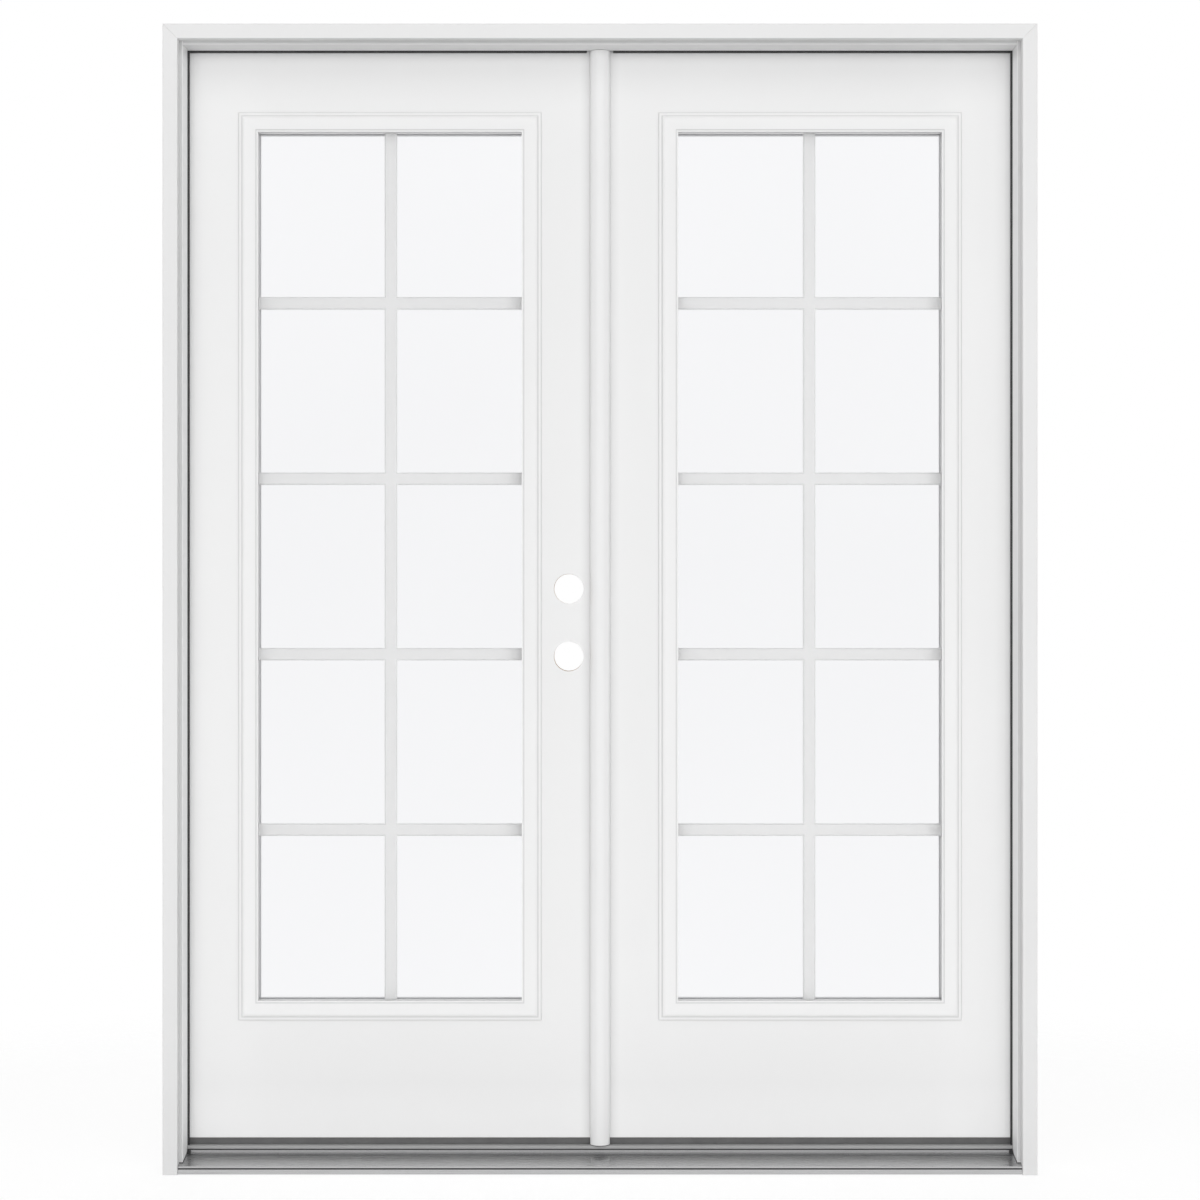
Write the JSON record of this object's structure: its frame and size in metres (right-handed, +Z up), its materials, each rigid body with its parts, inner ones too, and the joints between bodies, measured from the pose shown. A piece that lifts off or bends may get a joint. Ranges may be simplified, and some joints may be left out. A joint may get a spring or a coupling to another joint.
{
  "type": "french doors",
  "caption": "Prehung double french doors with framed glass lites and bar grilles, a jamb frame, outside trim, metal sill, astragal and flush bolts; both leaves swing inwards.",
  "frame": {"origin": "middle of the unit's box at floor level, under the sill", "axes": "+Z up, -Y towards the outside, +X to the right seen from outside"},
  "size_m": [1.568, 0.1504, 2.064],
  "materials": {
    "painted_jamb": "white paint, satin",
    "painted_trim": "white paint, satin",
    "sill_base": "composite board",
    "sill_metal": "mill finish, ribbed by the die",
    "sill_cap": "grey composite",
    "seal_foam": "black foam with a film skin",
    "sweep_rubber": "dark vinyl",
    "hinge_steel": "satin nickel plate",
    "strike_steel": "zinc plate",
    "bolt_steel": "zinc plate",
    "screw_steel": "zinc plate",
    "door_skin": "smooth white factory paint, satin",
    "stile_wood": "plain laminated timber",
    "core_foam": "rigid foam",
    "lite_plastic": "white moulding, fine matt grain",
    "pane_glass": "clear",
    "spacer_metal": "mill finish",
    "grille_paint": "white, satin",
    "astragal_metal": "white coated",
    "cover_plastic": "white, satin"
  },
  "bodies": {
    "frame": {"left_jamb": "painted_jamb", "right_jamb": "painted_jamb", "head_jamb": "painted_jamb", "left_trim": "painted_trim", "right_trim": "painted_trim", "head_trim": "painted_trim", "sill_base": "sill_base", "sill_deck": "sill_metal", "sill_cap": "sill_cap", "corner_pads": "seal_foam", "left_jamb_seal": "seal_foam", "right_jamb_seal": "seal_foam", "head_seal": "seal_foam", "jamb_hinge_leaves": "hinge_steel", "hinge_pins": "hinge_steel", "jamb_hinge_screws": "hinge_steel", "bolt_strikes": "strike_steel"},
    "active_leaf": {"active_outer_skin": "door_skin", "active_inner_skin": "door_skin", "active_hinge_stile": "stile_wood", "active_lock_stile": "stile_wood", "active_top_rail": "stile_wood", "active_bottom_rail": "stile_wood", "active_foam_core": "core_foam", "active_outer_lite_frame": "lite_plastic", "active_inner_lite_frame": "lite_plastic", "active_outer_glass": "pane_glass", "active_inner_glass": "pane_glass", "active_glass_spacer": "spacer_metal", "active_grille": "grille_paint", "active_lite_screws": "screw_steel", "active_door_sweep": "sweep_rubber", "active_hinge_leaves": "hinge_steel", "active_hinge_screws": "hinge_steel", "active_lock_block": "stile_wood"},
    "passive_leaf": {"passive_outer_skin": "door_skin", "passive_inner_skin": "door_skin", "passive_hinge_stile": "stile_wood", "passive_lock_stile": "stile_wood", "passive_top_rail": "stile_wood", "passive_bottom_rail": "stile_wood", "passive_foam_core": "core_foam", "passive_outer_lite_frame": "lite_plastic", "passive_inner_lite_frame": "lite_plastic", "passive_outer_glass": "pane_glass", "passive_inner_glass": "pane_glass", "passive_glass_spacer": "spacer_metal", "passive_grille": "grille_paint", "passive_lite_screws": "screw_steel", "passive_door_sweep": "sweep_rubber", "passive_hinge_leaves": "hinge_steel", "passive_hinge_screws": "hinge_steel", "astragal_body": "astragal_metal", "astragal_cover": "cover_plastic", "astragal_seal": "seal_foam", "astragal_strikes": "strike_steel"},
    "top_bolt": {"top_flush_bolt": "bolt_steel"},
    "bottom_bolt": {"bottom_flush_bolt": "bolt_steel"}
  },
  "joints": [
    {"name": "active_swing", "type": "hinge", "parent": "frame", "child": "active_leaf", "pos_m": [-0.7622, 0.06925, 1.032], "axis": [0, 0, 1], "range_deg": [0, 110]},
    {"name": "passive_swing", "type": "hinge", "parent": "frame", "child": "passive_leaf", "pos_m": [0.7622, 0.06925, 1.032], "axis": [0, 0, -1], "range_deg": [0, 110]},
    {"name": "top_bolt_slide", "type": "slide", "parent": "passive_leaf", "child": "top_bolt", "axis": [0, 0, 1], "range_m": [0, 0.014]},
    {"name": "bottom_bolt_slide", "type": "slide", "parent": "passive_leaf", "child": "bottom_bolt", "axis": [0, 0, -1], "range_m": [0, 0.02]}
  ]
}
